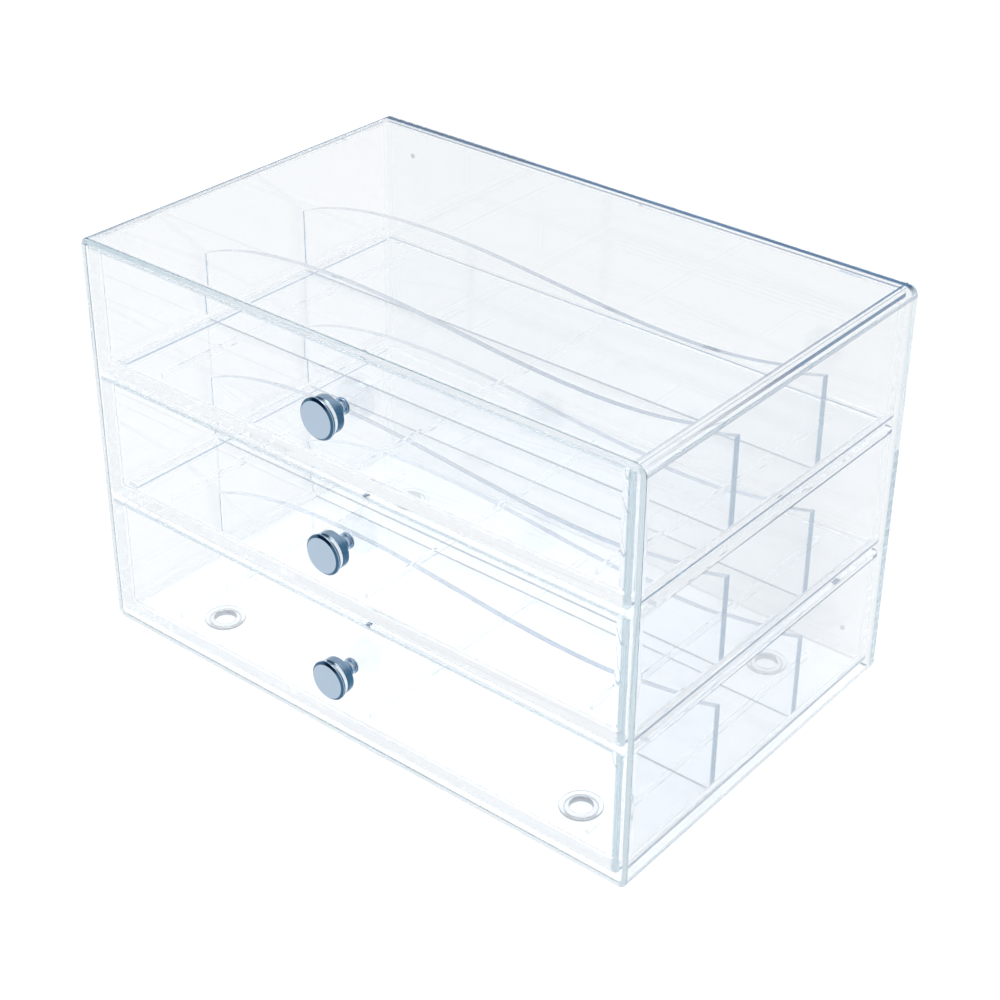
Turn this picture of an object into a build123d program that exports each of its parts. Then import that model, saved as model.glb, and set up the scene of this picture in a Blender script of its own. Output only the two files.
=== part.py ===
from build123d import *
import os

os.makedirs("parts", exist_ok=True)

# Casing: one clear moulding, open at the front
casing_width = 250.0
casing_depth = 160.7
casing_wall = 2.5
casing_corner_radius = 4.0
casing_edge_radius = 0.5
gate_mark_diameter = 2.0
gate_mark_depth = 0.5
gate_mark_side_inset = 17.6
gate_mark_end_inset = 14.8

# Runner strips bonded to the insides of the casing's sides
runner_width = 7.0
runner_thickness = 2.0
runner_setback = 10.0
runner_rear_gap = 7.2
bond_gap = 0.05

# Ring feet bonded under the casing
foot_diameter = 16.0
foot_tread_diameter = 12.0
foot_bore = 8.5
foot_flange = 1.0
foot_height = 2.2
foot_side_inset = 36.5
foot_end_inset = 24.5

# Drawers, each a one-piece tray
drawer_height = 50.2
drawer_wall = 3.0
drawer_floor = 2.8
drawer_corner_radius = 2.8
drawer_inner_radius = 3.2
drawer_edge_radius = 0.8
side_gap = 0.8
rear_gap = 0.3
slide_gap = 0.1
head_gap = 0.7
top_gap = 0.5

# Glide ribs under each drawer floor
rib_width = 1.4
rib_height = 2.2
rib_side_inset = 21.7
rib_setback = 12.0

# Dividers, plates with a wave along the top
divider_thickness = 2.4
front_divider_depth = 52.4
rear_divider_depth = 104.9
divider_gap = 0.15
divider_left_height = 25.2
divider_crest_height = 36.2
divider_trough_height = 29.0
divider_right_height = 36.3
divider_crest_share = -0.42
divider_trough_share = 0.55
divider_left_slope_share = 0.45
divider_right_slope_share = 0.3

# Knobs, turned and plated, and the screws that hold them
knob_projection = 10.5
knob_cap_diameter = 15.4
knob_cap_thickness = 1.3
knob_bevel = 0.5
knob_body_diameter = 14.0
knob_body_length = 5.2
knob_body_radius = 0.7
knob_neck_diameter = 6.0
knob_rise = 2.7
screw_diameter = 3.0
screw_hole_gap = 0.4
screw_engagement = 6.0
screw_head_diameter = 6.2
screw_head_height = 2.1
screw_head_radius = 0.7
screw_slot_width = 0.8
screw_slot_depth = 0.8

# How far a cut runs past the face that it opens
overrun = 1.0

# Levels and places that follow from the sizes above
levels = ["lower", "middle", "upper"]
bay_pitch = drawer_height + head_gap + runner_thickness + slide_gap
casing_bottom = foot_height
casing_floor = casing_bottom + casing_wall
lowest_drawer = casing_floor + rib_height + slide_gap
casing_ceiling = lowest_drawer + (len(levels) - 1) * bay_pitch + drawer_height + top_gap
casing_top = casing_ceiling + casing_wall
casing_middle = (casing_bottom + casing_top) / 2
bay_width = casing_width - 2 * casing_wall
drawer_width = bay_width - 2 * side_gap
drawer_depth = casing_depth - casing_wall - rear_gap
pocket_width = drawer_width - 2 * drawer_wall
runner_length = casing_depth - casing_wall - runner_setback - runner_rear_gap
front = (knob_projection - casing_depth) / 2


def upright(depth, height=0):
    """Plane facing the front at a depth behind it, with its origin at a height."""
    return Plane(origin=(0, front + depth, height), x_dir=(1, 0, 0), z_dir=(0, -1, 0))


def level_plane(x, depth, height):
    """Plane facing up at a height, with its origin at a depth behind the front."""
    return Plane(origin=(x, front + depth, height))


def keep(piece, name):
    """Label a finished piece and write it to its own file."""
    piece.part.label = name
    export_step(piece.part, f"parts/{name}.step")


# Casing
with BuildPart() as casing:
    with BuildSketch(upright(casing_depth, casing_middle)):
        RectangleRounded(casing_width, casing_top - casing_bottom, casing_corner_radius)
    extrude(amount=casing_depth)
    fillet(casing.faces().sort_by(Axis.Y)[-1].edges(), radius=casing_edge_radius)
    with BuildSketch(upright(casing_depth - casing_wall, casing_middle)):
        RectangleRounded(bay_width, casing_ceiling - casing_floor, casing_corner_radius - casing_wall)
    extrude(amount=casing_depth, mode=Mode.SUBTRACT)
    fillet(casing.faces().sort_by(Axis.Y)[0].edges(), radius=casing_edge_radius)
    gate_x = casing_width / 2 - gate_mark_side_inset
    gate_places = [
        (-gate_x, casing_top - gate_mark_end_inset),
        (gate_x, casing_bottom + gate_mark_end_inset),
    ]
    with BuildSketch(upright(casing_depth)):
        with Locations(*gate_places):
            Circle(gate_mark_diameter / 2)
    extrude(amount=gate_mark_depth, mode=Mode.SUBTRACT)
keep(casing, "casing")

# Runner strips
for level in range(1, len(levels)):
    runner_bottom = lowest_drawer + level * bay_pitch - slide_gap - runner_thickness
    runner_x = bay_width / 2 - bond_gap - runner_width / 2
    runner_middle = runner_setback + runner_length / 2
    for side, hand in ((-1, "left"), (1, "right")):
        with BuildPart() as runner:
            with BuildSketch(level_plane(side * runner_x, runner_middle, runner_bottom)):
                Rectangle(runner_width, runner_length)
            extrude(amount=runner_thickness)
        keep(runner, f"{levels[level]}_runner_{hand}")

# Ring feet
for depth, end in ((foot_end_inset, "front"), (casing_depth - foot_end_inset, "rear")):
    for side, hand in ((-1, "left"), (1, "right")):
        foot_x = side * (casing_width / 2 - foot_side_inset)
        with BuildPart() as foot:
            with BuildSketch(level_plane(foot_x, depth, 0)):
                Circle(foot_tread_diameter / 2)
                Circle(foot_bore / 2, mode=Mode.SUBTRACT)
            extrude(amount=foot_height - bond_gap)
            with BuildSketch(level_plane(foot_x, depth, foot_height - foot_flange)):
                Circle(foot_diameter / 2)
                Circle(foot_bore / 2, mode=Mode.SUBTRACT)
            extrude(amount=foot_flange - bond_gap)
        keep(foot, f"foot_{end}_{hand}")

# Drawers with their dividers, knobs and screws, one set for each level
for level, name in enumerate(levels):
    underside = lowest_drawer + level * bay_pitch
    floor = underside + drawer_floor
    knob_height = underside + drawer_height / 2 + knob_rise

    # Tray
    with BuildPart() as pocket:
        with BuildSketch(level_plane(0, drawer_depth / 2, floor)):
            Rectangle(pocket_width, drawer_depth - 2 * drawer_wall)
        extrude(amount=drawer_height)
        pocket_lid = pocket.faces().sort_by(Axis.Z)[-1]
        fillet(pocket.edges() - pocket_lid.edges(), radius=drawer_inner_radius)
    with BuildPart() as tray:
        with BuildSketch(level_plane(0, drawer_depth / 2, underside)):
            Rectangle(drawer_width, drawer_depth)
        extrude(amount=drawer_height)
        tray_front = tray.faces().sort_by(Axis.Y)[0]
        tray_lid = tray.faces().sort_by(Axis.Z)[-1]
        fillet(tray.edges() - tray_front.edges() - tray_lid.edges(), radius=drawer_corner_radius)
        fillet(tray.faces().sort_by(Axis.Y)[0].edges(), radius=drawer_edge_radius)
        add(pocket.part, mode=Mode.SUBTRACT)
        rib_length = drawer_depth - 2 * rib_setback
        rib_x = drawer_width / 2 - rib_side_inset
        with BuildSketch(level_plane(0, drawer_depth / 2, underside - rib_height)):
            with Locations((-rib_x, 0), (0, 0), (rib_x, 0)):
                SlotOverall(rib_length, rib_width, rotation=90)
        extrude(amount=rib_height + drawer_floor / 2)
        with BuildSketch(upright(drawer_wall + overrun, knob_height)):
            Circle((screw_diameter + screw_hole_gap) / 2)
        extrude(amount=drawer_wall + 2 * overrun, mode=Mode.SUBTRACT)
    keep(tray, f"{name}_drawer")

    # Dividers
    half_length = pocket_width / 2 - divider_gap
    left_top = (-half_length, divider_left_height)
    crest = (divider_crest_share * half_length, divider_crest_height)
    trough = (divider_trough_share * half_length, divider_trough_height)
    right_top = (half_length, divider_right_height)
    for place, depth in (("front", front_divider_depth), ("rear", rear_divider_depth)):
        with BuildPart() as divider:
            with BuildSketch(upright(depth, floor + divider_gap)) as outline:
                with BuildLine():
                    Spline(left_top, crest, tangents=[(1, divider_left_slope_share), (1, 0)])
                    Spline(crest, trough, tangents=[(1, 0), (1, 0)])
                    Spline(trough, right_top, tangents=[(1, 0), (1, divider_right_slope_share)])
                    Polyline(right_top, (half_length, 0), (-half_length, 0), left_top)
                make_face()
                fillet(outline.vertices().group_by(Axis.Y)[0], radius=drawer_inner_radius)
            extrude(amount=-divider_thickness)
        keep(divider, f"{name}_{place}_divider")

    # Knob, turned about the screw's axis and bored for the screw
    knob_axis = Axis((0, front, knob_height), (0, 1, 0))
    turning_plane = Plane(origin=(0, front, knob_height), x_dir=(0, -1, 0), z_dir=(-1, 0, 0))
    cap_back = knob_projection - knob_cap_thickness
    body_back = cap_back - knob_body_length
    bore_radius = (screw_diameter + screw_hole_gap) / 2
    bore_depth = screw_engagement + screw_hole_gap
    cap_radius = knob_cap_diameter / 2
    with BuildPart() as knob:
        with BuildSketch(turning_plane):
            with BuildLine():
                Polyline(
                    (bond_gap, bore_radius),
                    (bond_gap, knob_neck_diameter / 2),
                    (body_back, knob_neck_diameter / 2),
                    (body_back, knob_body_diameter / 2),
                    (cap_back, knob_body_diameter / 2),
                    (cap_back, cap_radius),
                    (knob_projection - knob_bevel, cap_radius),
                    (knob_projection, cap_radius - knob_bevel),
                    (knob_projection, 0),
                    (bore_depth, 0),
                    (bore_depth, bore_radius),
                    close=True,
                )
            make_face()
        revolve(axis=knob_axis)
        body_rims = knob.edges().filter_by(GeomType.CIRCLE).group_by(Axis.Y)[-2]
        fillet(body_rims.sort_by(SortBy.RADIUS)[-1], radius=knob_body_radius)
    keep(knob, f"{name}_knob")

    # Screw, from inside the drawer into the knob
    head_seat = drawer_wall + bond_gap
    head_top = head_seat + screw_head_height
    with BuildPart() as screw:
        with BuildSketch(turning_plane):
            with BuildLine():
                Polyline(
                    (screw_engagement, 0),
                    (screw_engagement, screw_diameter / 2),
                    (-head_seat, screw_diameter / 2),
                    (-head_seat, screw_head_diameter / 2),
                    (-head_top, screw_head_diameter / 2),
                    (-head_top, 0),
                    close=True,
                )
            make_face()
        revolve(axis=knob_axis)
        fillet(screw.faces().sort_by(Axis.Y)[-1].edges(), radius=screw_head_radius)
        with BuildSketch(upright(head_top + overrun, knob_height)):
            Rectangle(screw_head_diameter + overrun, screw_slot_width)
        extrude(amount=screw_slot_depth + overrun, mode=Mode.SUBTRACT)
    keep(screw, f"{name}_knob_screw")
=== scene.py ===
import math

import bmesh
import bpy
from mathutils import Matrix, Vector


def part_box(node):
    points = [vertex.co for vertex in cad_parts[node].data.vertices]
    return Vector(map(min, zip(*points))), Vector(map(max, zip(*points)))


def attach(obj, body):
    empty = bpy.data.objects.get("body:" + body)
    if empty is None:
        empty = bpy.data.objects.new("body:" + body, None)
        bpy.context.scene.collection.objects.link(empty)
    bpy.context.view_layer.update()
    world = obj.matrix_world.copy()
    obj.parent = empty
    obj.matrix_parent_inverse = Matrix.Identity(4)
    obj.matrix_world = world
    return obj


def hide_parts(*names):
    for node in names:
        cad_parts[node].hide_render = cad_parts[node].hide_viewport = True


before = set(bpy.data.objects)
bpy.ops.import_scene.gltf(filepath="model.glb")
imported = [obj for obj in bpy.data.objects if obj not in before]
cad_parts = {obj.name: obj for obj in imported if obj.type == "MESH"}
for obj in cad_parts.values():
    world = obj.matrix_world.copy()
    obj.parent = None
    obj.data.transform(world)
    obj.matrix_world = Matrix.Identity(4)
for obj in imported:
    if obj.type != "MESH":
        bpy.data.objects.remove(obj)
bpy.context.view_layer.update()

# Casing: one clear polystyrene moulding, open at the front, polished so that only its edges and corners show.
# The plastic is almost colourless through a wall and blue-green along a sheet.
# Where a corner bends the light away, its edge shows as a thin dark line; these lines are painted into the
# colour as painted shade, and the right wall carries a painted shade too.


def calc(tree, operation, *values):
    """One sum in a node tree, on numbers or on other nodes' outputs."""
    node = tree.nodes.new("ShaderNodeMath")
    node.operation = operation
    for socket, value in zip(node.inputs, values):
        if isinstance(value, (int, float)):
            socket.default_value = value
        else:
            tree.links.new(value, socket)
    return node.outputs["Value"]


def product(tree, first, *others):
    """Several shares multiplied together."""
    result = first
    for value in others:
        result = calc(tree, "MULTIPLY", result, value)
    return result


def between(tree, share, least, most):
    """A number that a share moves from a least value to a greatest one."""
    return calc(tree, "ADD", calc(tree, "MULTIPLY", share, most - least), least)


def fade(tree, value, start, end):
    """A soft step from nought at one value to one at another."""
    node = tree.nodes.new("ShaderNodeMapRange")
    node.interpolation_type = "SMOOTHSTEP"
    node.inputs["From Min"].default_value = start
    node.inputs["From Max"].default_value = end
    tree.links.new(value, node.inputs["Value"])
    return node.outputs["Result"]


def mixed(tree, share, first, second):
    """Two colours mixed by a share."""
    node = tree.nodes.new("ShaderNodeMix")
    node.data_type = "RGBA"
    colours = [socket for socket in node.inputs if socket.type == "RGBA"]
    for socket, value in zip(colours, (first, second)):
        if isinstance(value, tuple):
            socket.default_value = value
        else:
            tree.links.new(value, socket)
    tree.links.new(share, node.inputs["Factor"])
    return [socket for socket in node.outputs if socket.type == "RGBA"][0]


def band(tree, value, centre, half_width, softness):
    """A soft-edged stripe about one value."""
    away = calc(tree, "ABSOLUTE", calc(tree, "SUBTRACT", value, centre))
    return fade(tree, away, half_width + softness, half_width)


def object_place(tree):
    """X, Y and Z of a point of the piece, and X, Y and Z of its normal."""
    place = tree.nodes.new("ShaderNodeTexCoord")
    parts = []
    for name in ("Object", "Normal"):
        split = tree.nodes.new("ShaderNodeSeparateXYZ")
        tree.links.new(place.outputs[name], split.inputs["Vector"])
        parts.append(split.outputs)
    return parts


def clear_plastic(name, seed, depth_colour, lines, roughness=0.0):
    """Clear moulded plastic: flow marks in the skin, colour along the sheet, and tinted lines, most of them
    painted shade along edges.

    Each line is a colour, a function that says where it lies,
    and how far it also tints light that comes from within the plastic.
    """
    material = bpy.data.materials.new(name)
    material.use_nodes = True
    tree = material.node_tree
    nodes = tree.nodes
    links = tree.links
    nodes.clear()
    place = nodes.new("ShaderNodeTexCoord")
    batch = nodes.new("ShaderNodeVectorMath")
    batch.operation = "ADD"
    batch.inputs[1].default_value = (seed, 0, 0)
    flow = nodes.new("ShaderNodeTexNoise")
    flow.inputs["Scale"].default_value = 22.0
    flow.inputs["Detail"].default_value = 1.0
    skin = nodes.new("ShaderNodeBsdfPrincipled")
    skin.inputs["Roughness"].default_value = roughness
    skin.inputs["IOR"].default_value = 1.56
    skin.inputs["Transmission Weight"].default_value = 1.0
    depth = nodes.new("ShaderNodeVolumeAbsorption")
    depth.inputs["Color"].default_value = depth_colour
    depth.inputs["Density"].default_value = 10.0
    to_lamps = nodes.new("ShaderNodeBsdfTransparent")
    to_lamps.inputs["Color"].default_value = (0.975, 0.981, 0.987, 1.0)
    path = nodes.new("ShaderNodeLightPath")
    by_ray = nodes.new("ShaderNodeMixShader")
    out = nodes.new("ShaderNodeOutputMaterial")
    links.new(place.outputs["Object"], batch.inputs[0])
    links.new(batch.outputs["Vector"], flow.inputs["Vector"])
    inside = nodes.new("ShaderNodeNewGeometry").outputs["Backfacing"]
    colour = mixed(tree, flow.outputs["Fac"], (0.991, 0.996, 1.0, 1.0), (0.979, 0.988, 0.997, 1.0))
    for line_colour, line_share, within in lines:
        shown = calc(tree, "SUBTRACT", 1, calc(tree, "MULTIPLY", inside, 1.0 - within))
        colour = mixed(tree, product(tree, line_share(tree), shown), colour, line_colour)
    links.new(colour, skin.inputs["Base Color"])
    links.new(path.outputs["Is Shadow Ray"], by_ray.inputs["Fac"])
    links.new(skin.outputs["BSDF"], by_ray.inputs[1])
    links.new(to_lamps.outputs["BSDF"], by_ray.inputs[2])
    links.new(by_ray.outputs["Shader"], out.inputs["Surface"])
    links.new(depth.outputs["Volume"], out.inputs["Volume"])
    return material


def dress(node, material):
    """Give a CAD node its finish."""
    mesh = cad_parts[node].data
    mesh.materials.clear()
    mesh.materials.append(material)


casing_low, casing_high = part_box("casing")
lid_line_inset = 0.0044
lid_line_drop = 0.0037
left_line_inset = 0.0024
rear_line_inset = 0.0023
gate_side_inset = 0.0176
gate_end_inset = 0.0148
gate_radius = 0.0009
gate_blur = 0.0003


def lid_inner_shade_lines(tree):
    """A painted shade line along each side of the lid where its rounding begins, darkest at the right rear.
    """
    point = object_place(tree)[0]
    strip = band(tree, calc(tree, "ABSOLUTE", point["X"]), casing_high.x - lid_line_inset, 0.0003, 0.0004)
    on_lid = fade(tree, point["Z"], casing_high.z - 0.0006, casing_high.z - 0.0003)
    depth = fade(tree, point["Y"], casing_low.y, casing_high.y)
    rightward = fade(tree, point["X"], -0.01, 0.01)
    return product(tree, strip, on_lid, between(tree, product(tree, depth, rightward), 0.4, 1.0))


def lid_outer_shade_lines(tree):
    """A painted shade line along each side of the lid where its rounding ends."""
    point = object_place(tree)[0]
    below_lid = band(tree, point["Z"], casing_high.z - lid_line_drop, 0.0004, 0.0003)
    at_right = fade(tree, point["X"], casing_high.x - 0.001, casing_high.x - 0.0006)
    beside_lid = band(tree, point["X"], casing_low.x + left_line_inset, 0.0011, 0.0004)
    at_top = fade(tree, point["Z"], casing_high.z - 0.0035, casing_high.z - 0.003)
    right = product(tree, below_lid, at_right, 0.6)
    return calc(tree, "MAXIMUM", right, product(tree, beside_lid, at_top))


def lid_rear_shade_line(tree):
    """A broader painted navy shade line where the rear wall meets the lid."""
    point, normal = object_place(tree)
    strip = band(tree, point["Y"], casing_high.y - rear_line_inset, 0.0009, 0.0006)
    return product(tree, strip, fade(tree, normal["Z"], 0.5, 0.9))


def mouth_edge_shade(tree):
    """A pale teal band of painted shade on the front edge round the casing's mouth, darkest at the left of
    the lid and down the right side.
    """
    point, normal = object_place(tree)
    facing = fade(tree, normal["Y"], -0.8, -0.97)
    upper = fade(tree, point["Z"], casing_high.z - 0.004, casing_high.z - 0.002)
    leftward = fade(tree, point["X"], casing_high.x * 0.2, casing_low.x)
    right = fade(tree, point["X"], casing_high.x - 0.004, casing_high.x - 0.002)
    strength = calc(tree, "MAXIMUM", product(tree, upper, leftward), product(tree, right, 0.8))
    return product(tree, facing, between(tree, strength, 0.2, 0.95))


def painted_side_shade(tree):
    """Painted shade over the right wall, stronger low down and toward the front."""
    point, normal = object_place(tree)
    on_wall = fade(tree, normal["X"], 0.9, 0.98)
    outer = fade(tree, point["X"], casing_high.x - 0.001, casing_high.x - 0.0005)
    lower = between(tree, fade(tree, point["Z"], casing_high.z, casing_high.z * 0.35), 0.4, 1.0)
    nearer = between(tree, fade(tree, point["Y"], casing_high.y, 0.0), 0.3, 1.0)
    return product(tree, on_wall, outer, lower, nearer)


def gate_marks(tree):
    """The two round marks in the rear wall where the plastic was let into the mould."""
    point = object_place(tree)[0]
    upper_left = (casing_low.x + gate_side_inset, casing_high.z - gate_end_inset)
    lower_right = (casing_high.x - gate_side_inset, casing_low.z + gate_end_inset)
    spots = []
    for x, z in (upper_left, lower_right):
        across = calc(tree, "POWER", calc(tree, "SUBTRACT", point["X"], x), 2)
        up = calc(tree, "POWER", calc(tree, "SUBTRACT", point["Z"], z), 2)
        away = calc(tree, "SQRT", calc(tree, "ADD", across, up))
        spots.append(fade(tree, away, gate_radius + gate_blur, gate_radius))
    on_rear = fade(tree, point["Y"], casing_high.y - 0.001, casing_high.y - 0.0007)
    return product(tree, calc(tree, "MAXIMUM", *spots), on_rear)


# Painted shade over the right wall and painted dark lines along the casing's edges; the gate marks are the
# casing's own.
casing_lines = [
    ((0.70, 0.715, 0.735, 1.0), painted_side_shade, 0.0),
    ((0.006, 0.058, 0.18, 1.0), lid_inner_shade_lines, 0.0),
    ((0.007, 0.058, 0.165, 1.0), lid_outer_shade_lines, 0.0),
    ((0.0002, 0.013, 0.07, 1.0), lid_rear_shade_line, 0.0),
    ((0.38, 0.51, 0.575, 1.0), mouth_edge_shade, 0.0),
    ((0.2, 0.24, 0.32, 1.0), gate_marks, 1.0),
]
casing_depth_colour = (0.935, 0.958, 0.97, 1.0)
dress("casing", clear_plastic("clear_casing", 1.0, casing_depth_colour, casing_lines))

# Runner strips: flat strips of the same plastic, sawn to length.
# They are bonded to the insides of the casing's sides and carry the middle and the upper drawer.
# Their inner edges and front ends carry painted shade, darker than their faces.


def strip_shade_lines(high):
    """Painted shade on the strip's front end and the upper part of the edge that faces the middle of the
    casing.
    """

    def share(tree):
        point, normal = object_place(tree)
        outward = product(tree, normal["X"], calc(tree, "SIGN", point["X"]))
        inner_edge = fade(tree, outward, -0.5, -0.9)
        upper = fade(tree, point["Z"], high.z - 0.0008, high.z - 0.0005)
        front_end = product(tree, fade(tree, normal["Y"], -0.5, -0.9), 0.35)
        return calc(tree, "MAXIMUM", product(tree, inner_edge, upper), front_end)

    return share


sheet_depth_colour = (0.96, 0.975, 0.982, 1.0)
# Painted shade for the strips' inner edges and front ends.
strip_edge_shade_colour = (0.07, 0.18, 0.36, 1.0)
for order, level in enumerate(("middle", "upper")):
    low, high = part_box(f"{level}_runner_left")
    edge_lines = [(strip_edge_shade_colour, strip_shade_lines(high), 0.0)]
    strip_plastic = clear_plastic(f"clear_{level}_strip", 2.0 + 0.3 * order, sheet_depth_colour, edge_lines)
    for hand in ("left", "right"):
        dress(f"{level}_runner_{hand}", strip_plastic)

# Ring feet: small turned rings of soft clear vinyl, bonded under the casing's corners.
# Each has a wide flange against the casing and a narrower tread, and its rounded edges and upright skins are
# painted grey as painted shade.


weld_distance = 1e-6
sliver_length = 1e-7
crease_angle = 0.6


def turning_tree(name, stations, rounding, segments, upright, finish):
    """Tree that turns a profile about its axis, with a named depth and diameter for each station along it."""
    tree = bpy.data.node_groups.new(name, "GeometryNodeTree")
    add = tree.nodes.new
    link = tree.links.new
    tree.interface.new_socket("Turned", in_out="OUTPUT", socket_type="NodeSocketGeometry")

    def named_input(label, kind, value):
        tree.interface.new_socket(label, in_out="INPUT", socket_type=kind).default_value = value

    for station, depth, diameter in stations:
        named_input(f"{station} depth", "NodeSocketFloat", depth)
        named_input(f"{station} diameter", "NodeSocketFloat", diameter)
    named_input("Edge rounding", "NodeSocketFloat", rounding)
    named_input("Segments", "NodeSocketInt", segments)
    named_input("Place", "NodeSocketVector", (0, 0, 0))
    given = add("NodeGroupInput")
    line = add("GeometryNodeCurvePrimitiveLine")
    steps = add("GeometryNodeResampleCurve")
    steps.inputs["Count"].default_value = len(stations)
    link(line.outputs["Curve"], steps.inputs["Curve"])
    pick = add("GeometryNodeIndexSwitch")
    pick.data_type = "VECTOR"
    while len(pick.index_switch_items) < len(stations):
        pick.index_switch_items.new()
    link(add("GeometryNodeInputIndex").outputs["Index"], pick.inputs["Index"])
    for i, (station, depth, diameter) in enumerate(stations):
        point = add("ShaderNodeCombineXYZ")
        link(calc(tree, "MULTIPLY", given.outputs[f"{station} diameter"], 0.5), point.inputs["X"])
        link(given.outputs[f"{station} depth"], point.inputs["Y"])
        link(point.outputs["Vector"], pick.inputs[i + 1])
    profile = add("GeometryNodeSetPosition")
    link(steps.outputs["Curve"], profile.inputs["Geometry"])
    link(pick.outputs["Output"], profile.inputs["Position"])
    rounded = add("GeometryNodeFilletCurve")
    rounded.mode = "POLY"
    rounded.inputs["Count"].default_value = 4
    rounded.inputs["Limit Radius"].default_value = True
    link(profile.outputs["Geometry"], rounded.inputs["Curve"])
    link(given.outputs["Edge rounding"], rounded.inputs["Radius"])
    count = add("GeometryNodeAttributeDomainSize")
    count.component = "CURVE"
    link(rounded.outputs["Curve"], count.inputs["Geometry"])
    grid = add("GeometryNodeMeshGrid")
    grid.inputs["Size X"].default_value = 1.0
    grid.inputs["Size Y"].default_value = 1.0
    link(calc(tree, "ADD", given.outputs["Segments"], 1), grid.inputs["Vertices X"])
    link(count.outputs["Point Count"], grid.inputs["Vertices Y"])
    spot = add("GeometryNodeInputPosition")
    cell = add("ShaderNodeSeparateXYZ")
    link(spot.outputs["Position"], cell.inputs["Vector"])
    angle = calc(tree, "MULTIPLY", calc(tree, "ADD", cell.outputs["X"], 0.5), 2 * math.pi)
    last = calc(tree, "SUBTRACT", count.outputs["Point Count"], 1)
    along = calc(tree, "ROUND", calc(tree, "MULTIPLY", calc(tree, "ADD", cell.outputs["Y"], 0.5), last))
    read = add("GeometryNodeSampleIndex")
    read.data_type = "FLOAT_VECTOR"
    link(rounded.outputs["Curve"], read.inputs["Geometry"])
    link(spot.outputs["Position"], read.inputs["Value"])
    link(along, read.inputs["Index"])
    found = add("ShaderNodeSeparateXYZ")
    link(read.outputs["Value"], found.inputs["Vector"])
    turned = add("ShaderNodeCombineXYZ")
    link(calc(tree, "MULTIPLY", found.outputs["X"], calc(tree, "COSINE", angle)), turned.inputs["X"])
    across = calc(tree, "MULTIPLY", found.outputs["X"], calc(tree, "SINE", angle))
    if upright:
        link(across, turned.inputs["Y"])
        link(found.outputs["Y"], turned.inputs["Z"])
    else:
        link(calc(tree, "MULTIPLY", found.outputs["Y"], -1), turned.inputs["Y"])
        link(across, turned.inputs["Z"])
    moved = add("ShaderNodeVectorMath")
    moved.operation = "ADD"
    link(turned.outputs["Vector"], moved.inputs[0])
    link(given.outputs["Place"], moved.inputs[1])
    body = add("GeometryNodeSetPosition")
    link(grid.outputs["Mesh"], body.inputs["Geometry"])
    link(moved.outputs["Vector"], body.inputs["Position"])
    weld = add("GeometryNodeMergeByDistance")
    weld.inputs["Distance"].default_value = weld_distance
    link(body.outputs["Geometry"], weld.inputs["Geometry"])
    single = add("GeometryNodeRealizeInstances")
    link(weld.outputs["Geometry"], single.inputs["Geometry"])
    coated = add("GeometryNodeSetMaterial")
    coated.inputs["Material"].default_value = finish
    link(single.outputs["Geometry"], coated.inputs["Geometry"])
    link(coated.outputs["Geometry"], add("NodeGroupOutput").inputs["Turned"])
    return tree


def made_by(tree, name, **inputs):
    """Run a tree with its inputs set and keep the result as a plain mesh piece."""
    holder = bpy.data.objects.new("holder", bpy.data.meshes.new("holder"))
    bpy.context.scene.collection.objects.link(holder)
    work = holder.modifiers.new("work", "NODES")
    work.node_group = tree
    for socket in tree.interface.items_tree:
        if socket.in_out == "INPUT" and socket.name in inputs:
            work[socket.identifier] = inputs[socket.name]
    ready = holder.evaluated_get(bpy.context.evaluated_depsgraph_get())
    mesh = bpy.data.meshes.new_from_object(ready)
    holder.modifiers.remove(work)
    bpy.data.objects.remove(holder)
    mesh.name = name
    shell = bmesh.new()
    shell.from_mesh(mesh)
    bmesh.ops.remove_doubles(shell, verts=shell.verts, dist=weld_distance)
    bmesh.ops.dissolve_degenerate(shell, edges=shell.edges, dist=sliver_length)
    bmesh.ops.recalc_face_normals(shell, faces=shell.faces)
    for face in shell.faces:
        face.smooth = True
    for edge in shell.edges:
        edge.smooth = edge.calc_face_angle(0) < crease_angle
    shell.to_mesh(mesh)
    shell.free()
    piece = bpy.data.objects.new(name, mesh)
    bpy.context.scene.collection.objects.link(piece)
    return piece


def ring_shade_lines(tree):
    """Painted shade on the upright skins of the ring and its rounded edges."""
    normal = object_place(tree)[1]
    return fade(tree, calc(tree, "ABSOLUTE", normal["Z"]), 0.98, 0.8)


vinyl_depth_colour = (0.94, 0.955, 0.97, 1.0)
# Painted shade on the ring's upright skins and rounded edges.
vinyl_lines = [((0.07, 0.095, 0.14, 1.0), ring_shade_lines, 1.0)]
ring_vinyl = clear_plastic("clear_vinyl", 3.0, vinyl_depth_colour, vinyl_lines, roughness=0.05)
ring_stations = [
    ("Bore foot", 0.0, 0.0085),
    ("Tread foot", 0.0, 0.012),
    ("Tread top", 0.0012, 0.012),
    ("Flange underside", 0.0012, 0.016),
    ("Flange top", 0.00215, 0.016),
    ("Bore top", 0.00215, 0.0085),
    ("Bore return", 0.0, 0.0085),
]
ring_tree = turning_tree(
    "turned_ring_foot", ring_stations, rounding=0.0004, segments=96, upright=True, finish=ring_vinyl
)
for end in ("front", "rear"):
    for hand in ("left", "right"):
        node = f"foot_{end}_{hand}"
        low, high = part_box(node)
        middle = (low + high) / 2
        ring = made_by(ring_tree, f"ring_{node}", Place=(middle.x, middle.y, low.z))
        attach(ring, "cabinet")
        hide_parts(node)

# Drawers: each a deep one-piece tray, moulded in the same clear plastic and loose on its runners.
# The inside corners are rounded, and glide ribs are moulded under the floor.
# The polished rim's dark line along the sides and the rear and its paler line across the front are painted
# shade, as are the lines at the floor and in the front's inside corners.
rib_height = 0.0022
floor_line_rise = 0.0031


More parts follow.
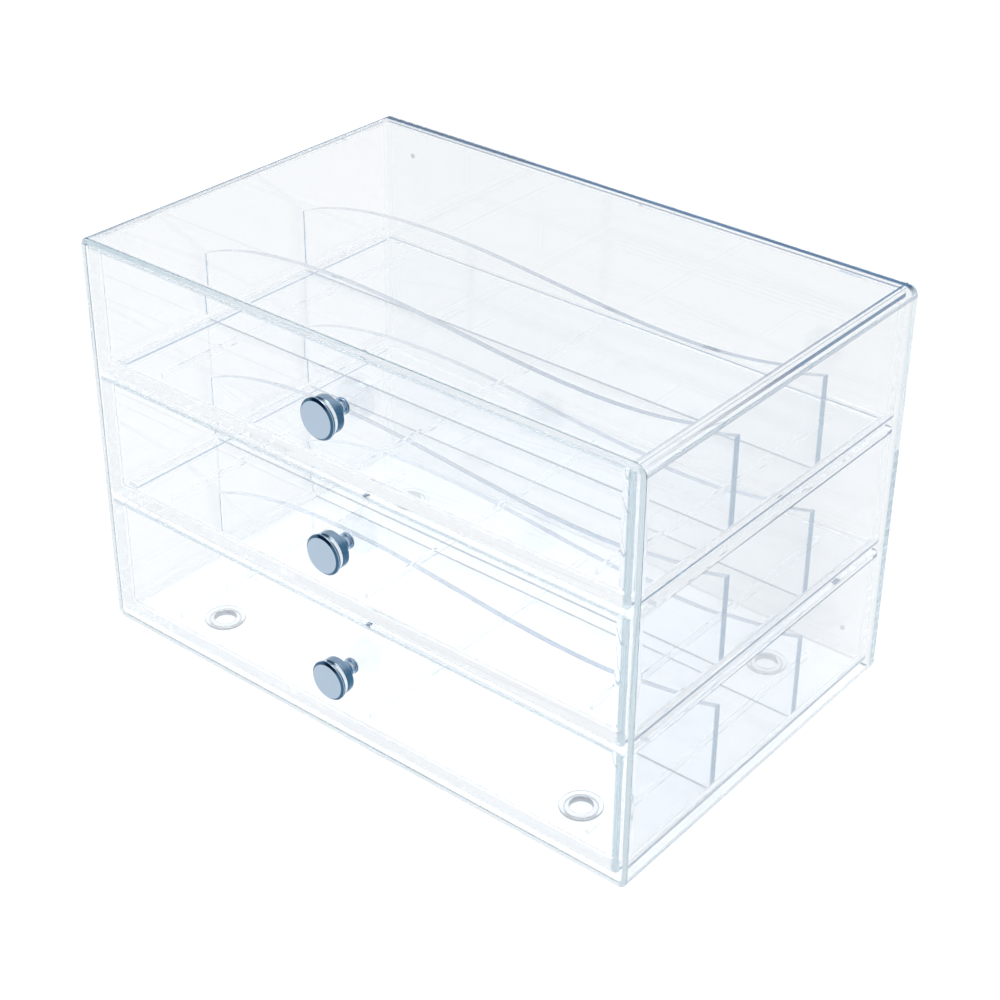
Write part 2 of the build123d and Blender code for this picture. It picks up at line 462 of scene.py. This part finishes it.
def rim_shade_lines(low, high):
    """A painted shade line along the outer edge of the rim along the sides and the rear."""

    def share(tree):
        point = object_place(tree)[0]
        at_rim = fade(tree, point["Z"], high.z - 0.0011, high.z - 0.0009)
        at_side = fade(tree, calc(tree, "ABSOLUTE", point["X"]), high.x - 0.0005, high.x - 0.0003)
        at_rear = fade(tree, point["Y"], high.y - 0.0011, high.y - 0.0007)
        rearward = fade(tree, point["Y"], low.y - 0.03, low.y + 0.09)
        past_front = fade(tree, point["Y"], low.y + 0.002, low.y + 0.004)
        edge = calc(tree, "MAXIMUM", at_side, at_rear)
        return product(tree, at_rim, edge, rearward, past_front)

    return share


def floor_shade_lines(low, high):
    """A painted shade line along the outside of each wall at the level of the tray's floor."""

    def share(tree):
        point, normal = object_place(tree)
        level = band(tree, point["Z"], low.z + rib_height + floor_line_rise, 0.0003, 0.0003)
        on_side = fade(tree, calc(tree, "ABSOLUTE", normal["X"]), 0.8, 0.95)
        outer = fade(tree, calc(tree, "ABSOLUTE", point["X"]), high.x - 0.0008, high.x - 0.0004)
        return product(tree, level, on_side, outer)

    return share


def front_shade_bands(low, high):
    """Painted shade: a band where the right wall is seen end-on through the front, and thin lines along the
    front's other edges.
    """

    def share(tree):
        point, normal = object_place(tree)
        on_front = fade(tree, point["Y"], low.y + 0.0015, low.y + 0.001)
        facing = fade(tree, normal["Y"], -0.5, -0.9)
        right = product(tree, fade(tree, point["X"], high.x - 0.0034, high.x - 0.003), facing)
        underside = low.z + rib_height
        bottom = fade(tree, point["Z"], underside + 0.0009, underside + 0.0006)
        left = fade(tree, point["X"], low.x + 0.0009, low.x + 0.0006)
        top = fade(tree, point["Z"], high.z - 0.0012, high.z - 0.0009)
        other_edges = calc(tree, "MAXIMUM", calc(tree, "MAXIMUM", left, top), bottom)
        return product(tree, calc(tree, "MAXIMUM", right, product(tree, other_edges, 0.5)), on_front)

    return share


def pocket_shade_line(low):
    """A painted shade line on the rounded inside corner where the front runs into the tray's sides and floor.
    """

    def share(tree):
        point, normal = object_place(tree)
        behind = fade(tree, point["Y"], low.y + 0.0028, low.y + 0.0032)
        before = fade(tree, point["Y"], low.y + 0.0068, low.y + 0.0062)
        turning = band(tree, normal["Y"], 0.8, 0.1, 0.08)
        return product(tree, turning, behind, before)

    return share


tray_depth_colour = (0.988, 0.992, 0.995, 1.0)
for order, level in enumerate(("lower", "middle", "upper")):
    low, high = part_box(f"{level}_drawer")
    # Painted shade lines along the rim, at floor level, across the front and in its inside corners.
    tray_lines = [
        ((0.0005, 0.02, 0.085, 1.0), rim_shade_lines(low, high), 0.0),
        ((0.006, 0.048, 0.14, 1.0), floor_shade_lines(low, high), 0.0),
        ((0.40, 0.53, 0.60, 1.0), front_shade_bands(low, high), 0.0),
        ((0.04, 0.09, 0.15, 1.0), pocket_shade_line(low), 1.0),
    ]
    dress(f"{level}_drawer", clear_plastic(f"clear_{level}_tray", 4.0 + order, tray_depth_colour, tray_lines))

# Dividers: flat plates of clear sheet with a long wave along the top, two in each tray.
# They are cut to drop between the tray's sides and stand on its floor.
# Light leaves the plate along its edges, which are painted as slate-blue lines of shade, with a darker
# painted shade line along the foot.


def plate_foot_shade(low):
    """A painted shade line along the foot of the plate's faces."""

    def share(tree):
        point = object_place(tree)[0]
        return product(tree, fade(tree, point["Z"], low.z + 0.0009, low.z + 0.0006), 0.75)

    return share


def plate_shade_lines(low, high):
    """Painted shade lines on the plate's top edge and its two ends, stronger toward the right."""

    def share(tree):
        point, normal = object_place(tree)
        rightward = between(tree, fade(tree, point["X"], low.x * 0.8, high.x * 0.6), 0.45, 0.75)
        top = product(tree, fade(tree, normal["Z"], 0.5, 0.9), rightward)
        ends = fade(tree, calc(tree, "ABSOLUTE", point["X"]), high.x - 0.0007, high.x - 0.0003)
        return calc(tree, "MAXIMUM", top, ends)

    return share


for order, level in enumerate(("lower", "middle", "upper")):
    low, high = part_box(f"{level}_front_divider")
    # Painted shade lines along the plate's edges and its foot.
    edge_lines = [
        ((0.032, 0.125, 0.28, 1.0), plate_shade_lines(low, high), 0.0),
        ((0.012, 0.078, 0.18, 1.0), plate_foot_shade(low), 0.0),
    ]
    plate_plastic = clear_plastic(f"clear_{level}_plate", 8.0 + order, sheet_depth_colour, edge_lines)
    for place in ("front", "rear"):
        dress(f"{level}_{place}_divider", plate_plastic)

# Knobs: turned brass, polished and chrome plated.
# Each has a flat cap, a groove behind it, a barrel and a short neck.
# The neck stands against the drawer front, and the screw is driven into it from inside.


def plated(name, painted_lit_face_colour, painted_shade_side_colour, painted_glint_colour, roughness):
    """Bright plating with painted light: a lighter bluish face and tops, painted shade on the sides, painted
    highlights on the chamfers, and a faint grain.
    """
    material = bpy.data.materials.new(name)
    material.use_nodes = True
    tree = material.node_tree
    nodes = tree.nodes
    links = tree.links
    nodes.clear()
    normal = object_place(tree)[1]
    place = nodes.new("ShaderNodeTexCoord")
    grain = nodes.new("ShaderNodeTexNoise")
    grain.inputs["Scale"].default_value = 900.0
    grain.inputs["Detail"].default_value = 3.0
    ripple = nodes.new("ShaderNodeBump")
    ripple.inputs["Strength"].default_value = 0.03
    ripple.inputs["Distance"].default_value = 0.0002
    metal = nodes.new("ShaderNodeBsdfPrincipled")
    metal.inputs["Metallic"].default_value = 1.0
    out = nodes.new("ShaderNodeOutputMaterial")
    links.new(place.outputs["Object"], grain.inputs["Vector"])
    links.new(grain.outputs["Fac"], ripple.inputs["Height"])
    links.new(ripple.outputs["Normal"], metal.inputs["Normal"])
    # Painted light: face and tops lighter, sides painted shade, chamfers painted highlights.
    along_axis = calc(tree, "ABSOLUTE", normal["Y"])
    upright = fade(tree, calc(tree, "ABSOLUTE", normal["Z"]), 0.55, 0.95)
    face = calc(tree, "MAXIMUM", fade(tree, along_axis, 0.9, 0.98), product(tree, upright, 0.5))
    glint_share = band(tree, along_axis, 0.59, 0.08, 0.06)
    plain = mixed(tree, face, painted_shade_side_colour, painted_lit_face_colour)
    links.new(mixed(tree, glint_share, plain, painted_glint_colour), metal.inputs["Base Color"])
    grain_depth = 0.06
    polish = between(tree, grain.outputs["Fac"], roughness, roughness + grain_depth)
    links.new(polish, metal.inputs["Roughness"])
    links.new(metal.outputs["BSDF"], out.inputs["Surface"])
    return material


# Plating with a painted lit face, painted shade on the sides and painted highlights on the chamfers.
knob_plating = plated(
    "chrome_plating",
    painted_lit_face_colour=(0.46, 0.57, 0.69, 1.0),
    painted_shade_side_colour=(0.055, 0.14, 0.24, 1.0),
    painted_glint_colour=(0.8, 0.88, 0.95, 1.0),
    roughness=0.03,
)
knob_standoff = 0.00005
knob_stations = [
    ("Face centre", 0.0105, 0.0),
    ("Face rim", 0.01045, 0.0134),
    ("Cap front", 0.0097, 0.0154),
    ("Cap back", 0.0090, 0.0154),
    ("Groove front", 0.0087, 0.0124),
    ("Groove back", 0.0083, 0.0124),
    ("Barrel front", 0.0072, 0.0140),
    ("Barrel back", 0.0040, 0.0140),
    ("Neck front", 0.0040, 0.0060),
    ("Neck back", knob_standoff, 0.0060),
    ("Bore rim", knob_standoff, 0.0034),
    ("Bore end", 0.0064, 0.0034),
    ("Bore centre", 0.0064, 0.0),
]
knob_tree = turning_tree(
    "turned_knob", knob_stations, rounding=0.00035, segments=128, upright=False, finish=knob_plating
)
for level in ("lower", "middle", "upper"):
    low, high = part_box(f"{level}_knob")
    middle = (low + high) / 2
    knob = made_by(knob_tree, f"{level}_plated_knob", Place=(middle.x, high.y + knob_standoff, middle.z))
    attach(knob, f"drawer_{level}")
    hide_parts(f"{level}_knob")

# Knob screws: plated steel machine screws, driven from inside each drawer through its front into the knob.
# The shank is turned and a thread rolled round it, and a slot is sawn across the round head.


def screw_tree(shank, finish):
    """Tree that winds a thread round a turned shank and saws a slot across its head."""
    tree = bpy.data.node_groups.new("slotted_screw", "GeometryNodeTree")
    add = tree.nodes.new
    link = tree.links.new
    tree.interface.new_socket("Screw", in_out="OUTPUT", socket_type="NodeSocketGeometry")
    for label, kind, value in (
        ("Thread radius", "NodeSocketFloat", 0.00132),
        ("Thread height", "NodeSocketFloat", 0.00018),
        ("Thread length", "NodeSocketFloat", 0.0085),
        ("Thread turns", "NodeSocketFloat", 17.0),
        ("Thread start", "NodeSocketFloat", -0.0058),
        ("Slot length", "NodeSocketFloat", 0.008),
        ("Slot width", "NodeSocketFloat", 0.0008),
        ("Slot depth", "NodeSocketFloat", 0.0008),
        ("Head top", "NodeSocketFloat", 0.00515),
        ("Place", "NodeSocketVector", (0, 0, 0)),
    ):
        tree.interface.new_socket(label, in_out="INPUT", socket_type=kind).default_value = value
    given = add("NodeGroupInput")
    turned = add("GeometryNodeGroup")
    turned.node_tree = shank
    slot_size = add("ShaderNodeCombineXYZ")
    link(given.outputs["Slot length"], slot_size.inputs["X"])
    link(calc(tree, "MULTIPLY", given.outputs["Slot depth"], 2), slot_size.inputs["Y"])
    link(given.outputs["Slot width"], slot_size.inputs["Z"])
    saw = add("GeometryNodeMeshCube")
    link(slot_size.outputs["Vector"], saw.inputs["Size"])
    slot_place = add("ShaderNodeCombineXYZ")
    link(given.outputs["Head top"], slot_place.inputs["Y"])
    saw_set = add("GeometryNodeTransform")
    link(saw.outputs["Mesh"], saw_set.inputs["Geometry"])
    link(slot_place.outputs["Vector"], saw_set.inputs["Translation"])
    sawn = add("GeometryNodeMeshBoolean")
    sawn.operation = "DIFFERENCE"
    link(turned.outputs["Turned"], sawn.inputs["Mesh 1"])
    link(saw_set.outputs["Geometry"], sawn.inputs["Mesh 2"])
    helix = add("GeometryNodeCurveSpiral")
    helix.inputs["Resolution"].default_value = 24
    link(given.outputs["Thread turns"], helix.inputs["Rotations"])
    link(given.outputs["Thread radius"], helix.inputs["Start Radius"])
    link(given.outputs["Thread radius"], helix.inputs["End Radius"])
    link(given.outputs["Thread length"], helix.inputs["Height"])
    ridge = add("GeometryNodeCurvePrimitiveCircle")
    ridge.inputs["Resolution"].default_value = 4
    link(given.outputs["Thread height"], ridge.inputs["Radius"])
    wound = add("GeometryNodeCurveToMesh")
    wound.inputs["Fill Caps"].default_value = True
    link(helix.outputs["Curve"], wound.inputs["Curve"])
    link(ridge.outputs["Curve"], wound.inputs["Profile Curve"])
    thread_place = add("ShaderNodeCombineXYZ")
    link(given.outputs["Thread start"], thread_place.inputs["Y"])
    laid = add("GeometryNodeTransform")
    laid.inputs["Rotation"].default_value = (-math.pi / 2, 0, 0)
    link(wound.outputs["Mesh"], laid.inputs["Geometry"])
    link(thread_place.outputs["Vector"], laid.inputs["Translation"])
    both = add("GeometryNodeJoinGeometry")
    link(laid.outputs["Geometry"], both.inputs["Geometry"])
    link(sawn.outputs["Mesh"], both.inputs["Geometry"])
    moved = add("GeometryNodeTransform")
    link(both.outputs["Geometry"], moved.inputs["Geometry"])
    link(given.outputs["Place"], moved.inputs["Translation"])
    single = add("GeometryNodeRealizeInstances")
    link(moved.outputs["Geometry"], single.inputs["Geometry"])
    coated = add("GeometryNodeSetMaterial")
    coated.inputs["Material"].default_value = finish
    link(single.outputs["Geometry"], coated.inputs["Geometry"])
    link(coated.outputs["Geometry"], add("NodeGroupOutput").inputs["Screw"])
    return tree


shank_reach = 0.006
shank_stations = [
    ("Tip centre", shank_reach, 0.0),
    ("Tip rim", shank_reach, 0.0024),
    ("Thread front", 0.0057, 0.00268),
    ("Shank end", -0.00305, 0.00268),
    ("Head seat", -0.00305, 0.0062),
    ("Head side", -0.0040, 0.0062),
    ("Head shoulder", -0.0050, 0.0048),
    ("Head edge", -0.00515, 0.0034),
    ("Head centre", -0.00515, 0.0),
]
screw_shank = turning_tree(
    "turned_shank", shank_stations, rounding=0.00025, segments=64, upright=False, finish=knob_plating
)
slotted_screw = screw_tree(screw_shank, knob_plating)
for level in ("lower", "middle", "upper"):
    low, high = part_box(f"{level}_knob_screw")
    middle = (low + high) / 2
    screw = made_by(slotted_screw, f"{level}_slotted_screw", Place=(middle.x, low.y + shank_reach, middle.z))
    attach(screw, f"drawer_{level}")
    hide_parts(f"{level}_knob_screw")

# Stage: white paper that keeps the object's soft shadow, in a white room with one soft lamp overhead.
# The paper glows a little more toward the camera than toward the plastic, so that it is white in the picture.
# High up at the left the room is dark, which gives the plated knobs their dark side.
floor_reach = 6.0
floor_glow = 0.5
floor_glow_to_camera = 0.66
floor_mesh = bpy.data.meshes.new("floor")
floor_corners = [(x * floor_reach, y * floor_reach, 0) for x, y in ((-1, -1), (1, -1), (1, 1), (-1, 1))]
floor_mesh.from_pydata(floor_corners, [], [(0, 1, 2, 3)])
floor = bpy.data.objects.new("floor", floor_mesh)
bpy.context.scene.collection.objects.link(floor)
paper = bpy.data.materials.new("white_paper")
paper.use_nodes = True
nodes = paper.node_tree.nodes
links = paper.node_tree.links
nodes.clear()
matt = nodes.new("ShaderNodeBsdfDiffuse")
matt.inputs["Color"].default_value = (0.4, 0.4, 0.4, 1)
glow = nodes.new("ShaderNodeEmission")
path = nodes.new("ShaderNodeLightPath")
glow_strength = between(paper.node_tree, path.outputs["Is Camera Ray"], floor_glow, floor_glow_to_camera)
links.new(glow_strength, glow.inputs["Strength"])
both = nodes.new("ShaderNodeAddShader")
out = nodes.new("ShaderNodeOutputMaterial")
links.new(matt.outputs["BSDF"], both.inputs[0])
links.new(glow.outputs["Emission"], both.inputs[1])
links.new(both.outputs["Shader"], out.inputs["Surface"])
floor_mesh.materials.append(paper)

room_white = (0.9, 0.9, 0.9, 1)
room_dark = (0.04, 0.08, 0.13, 1)
dark_side = Vector((-0.8, -0.6))
world = bpy.data.worlds.new("studio")
bpy.context.scene.world = world
world.use_nodes = True
tree = world.node_tree
tree.nodes.clear()
place = tree.nodes.new("ShaderNodeTexCoord")
toward = tree.nodes.new("ShaderNodeSeparateXYZ")
tree.links.new(place.outputs["Generated"], toward.inputs["Vector"])
path = tree.nodes.new("ShaderNodeLightPath")
leftward = calc(tree, "MULTIPLY", toward.outputs["X"], dark_side.x)
frontward = calc(tree, "MULTIPLY", toward.outputs["Y"], dark_side.y)
to_dark = fade(tree, calc(tree, "ADD", leftward, frontward), 0.25, 0.6)
raised = fade(tree, toward.outputs["Z"], 0.2, 0.35)
room = mixed(tree, product(tree, to_dark, raised), room_white, room_dark)
white_for = calc(tree, "MAXIMUM", path.outputs["Is Camera Ray"], path.outputs["Is Transmission Ray"])
seen = mixed(tree, white_for, room, (1, 1, 1, 1))
surround = tree.nodes.new("ShaderNodeBackground")
out = tree.nodes.new("ShaderNodeOutputWorld")
tree.links.new(seen, surround.inputs["Color"])
tree.links.new(surround.outputs["Background"], out.inputs["Surface"])

lamp_data = bpy.data.lights.new("soft_box", "AREA")
lamp_data.shape = "RECTANGLE"
lamp_data.size = 0.8
lamp_data.size_y = 0.7
lamp_data.energy = 14.0
lamp = bpy.data.objects.new("soft_box", lamp_data)
bpy.context.scene.collection.objects.link(lamp)
lamp.location = (-0.06, 0.06, 1.5)
lamp.rotation_euler = (Vector((0, 0, 0)) - lamp.location).to_track_quat("-Z", "Y").to_euler()

camera_data = bpy.data.cameras.new("camera")
camera_data.sensor_width = 36.0
camera_data.lens = 72.7626
camera_data.shift_x = -0.07
camera_data.shift_y = -0.07
camera_data.clip_start = 0.01
camera = bpy.data.objects.new("camera", camera_data)
bpy.context.scene.collection.objects.link(camera)
bpy.context.scene.camera = camera
eye = Vector((0.412567, -0.492798, 0.4671))
aim = Vector((0.045655, -0.008042, 0.120132))
roll = math.radians(1.573815)
forward = (aim - eye).normalized()
level_right = forward.cross(Vector((0, 0, 1))).normalized()
level_up = level_right.cross(forward)
right = level_right * math.cos(roll) + level_up * math.sin(roll)
up = level_up * math.cos(roll) - level_right * math.sin(roll)
camera.matrix_world = Matrix.Translation(eye) @ Matrix((right, up, -forward)).transposed().to_4x4()

# Light runs a long way along the clear sheets, so rays are followed through many turns.
scene = bpy.context.scene
scene.view_settings.view_transform = "Standard"
ray_turns = 400
scene.cycles.max_bounces = ray_turns
scene.cycles.glossy_bounces = ray_turns
scene.cycles.transmission_bounces = ray_turns
scene.cycles.transparent_max_bounces = 64
